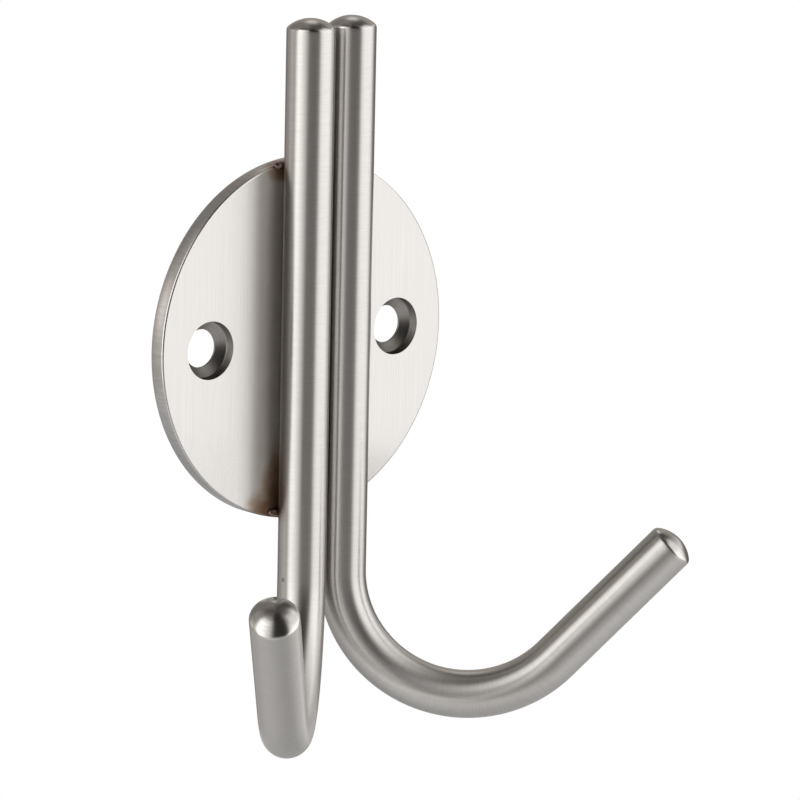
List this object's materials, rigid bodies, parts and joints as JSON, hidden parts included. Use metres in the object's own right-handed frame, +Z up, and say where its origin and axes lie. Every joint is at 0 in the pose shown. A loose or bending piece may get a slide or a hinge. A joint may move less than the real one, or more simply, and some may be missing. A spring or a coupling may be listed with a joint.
{
  "type": "coat hook",
  "caption": "Double coat hook of bent round stainless rods, domed at their ends and splayed left and right, welded side by side to a round screw-on wall plate.",
  "frame": {"origin": "middle of the plate's back face, which lies on the wall", "axes": "+Z up along the rods, -Y out of the wall towards the user, +X to the user's right"},
  "size_m": [0.0928, 0.049, 0.117],
  "materials": {
    "plate_steel": "brushed upright, heat-tinted brown beside the welds",
    "rod_steel": "fine satin, turned rings on the domed ends",
    "weld_metal": "raw weld bead, darkened by heat"
  },
  "bodies": {
    "root": {"back_plate": "plate_steel", "left_hook": "rod_steel", "right_hook": "rod_steel", "upper_left_weld": "weld_metal", "lower_left_weld": "weld_metal", "upper_right_weld": "weld_metal", "lower_right_weld": "weld_metal"}
  },
  "joints": []
}
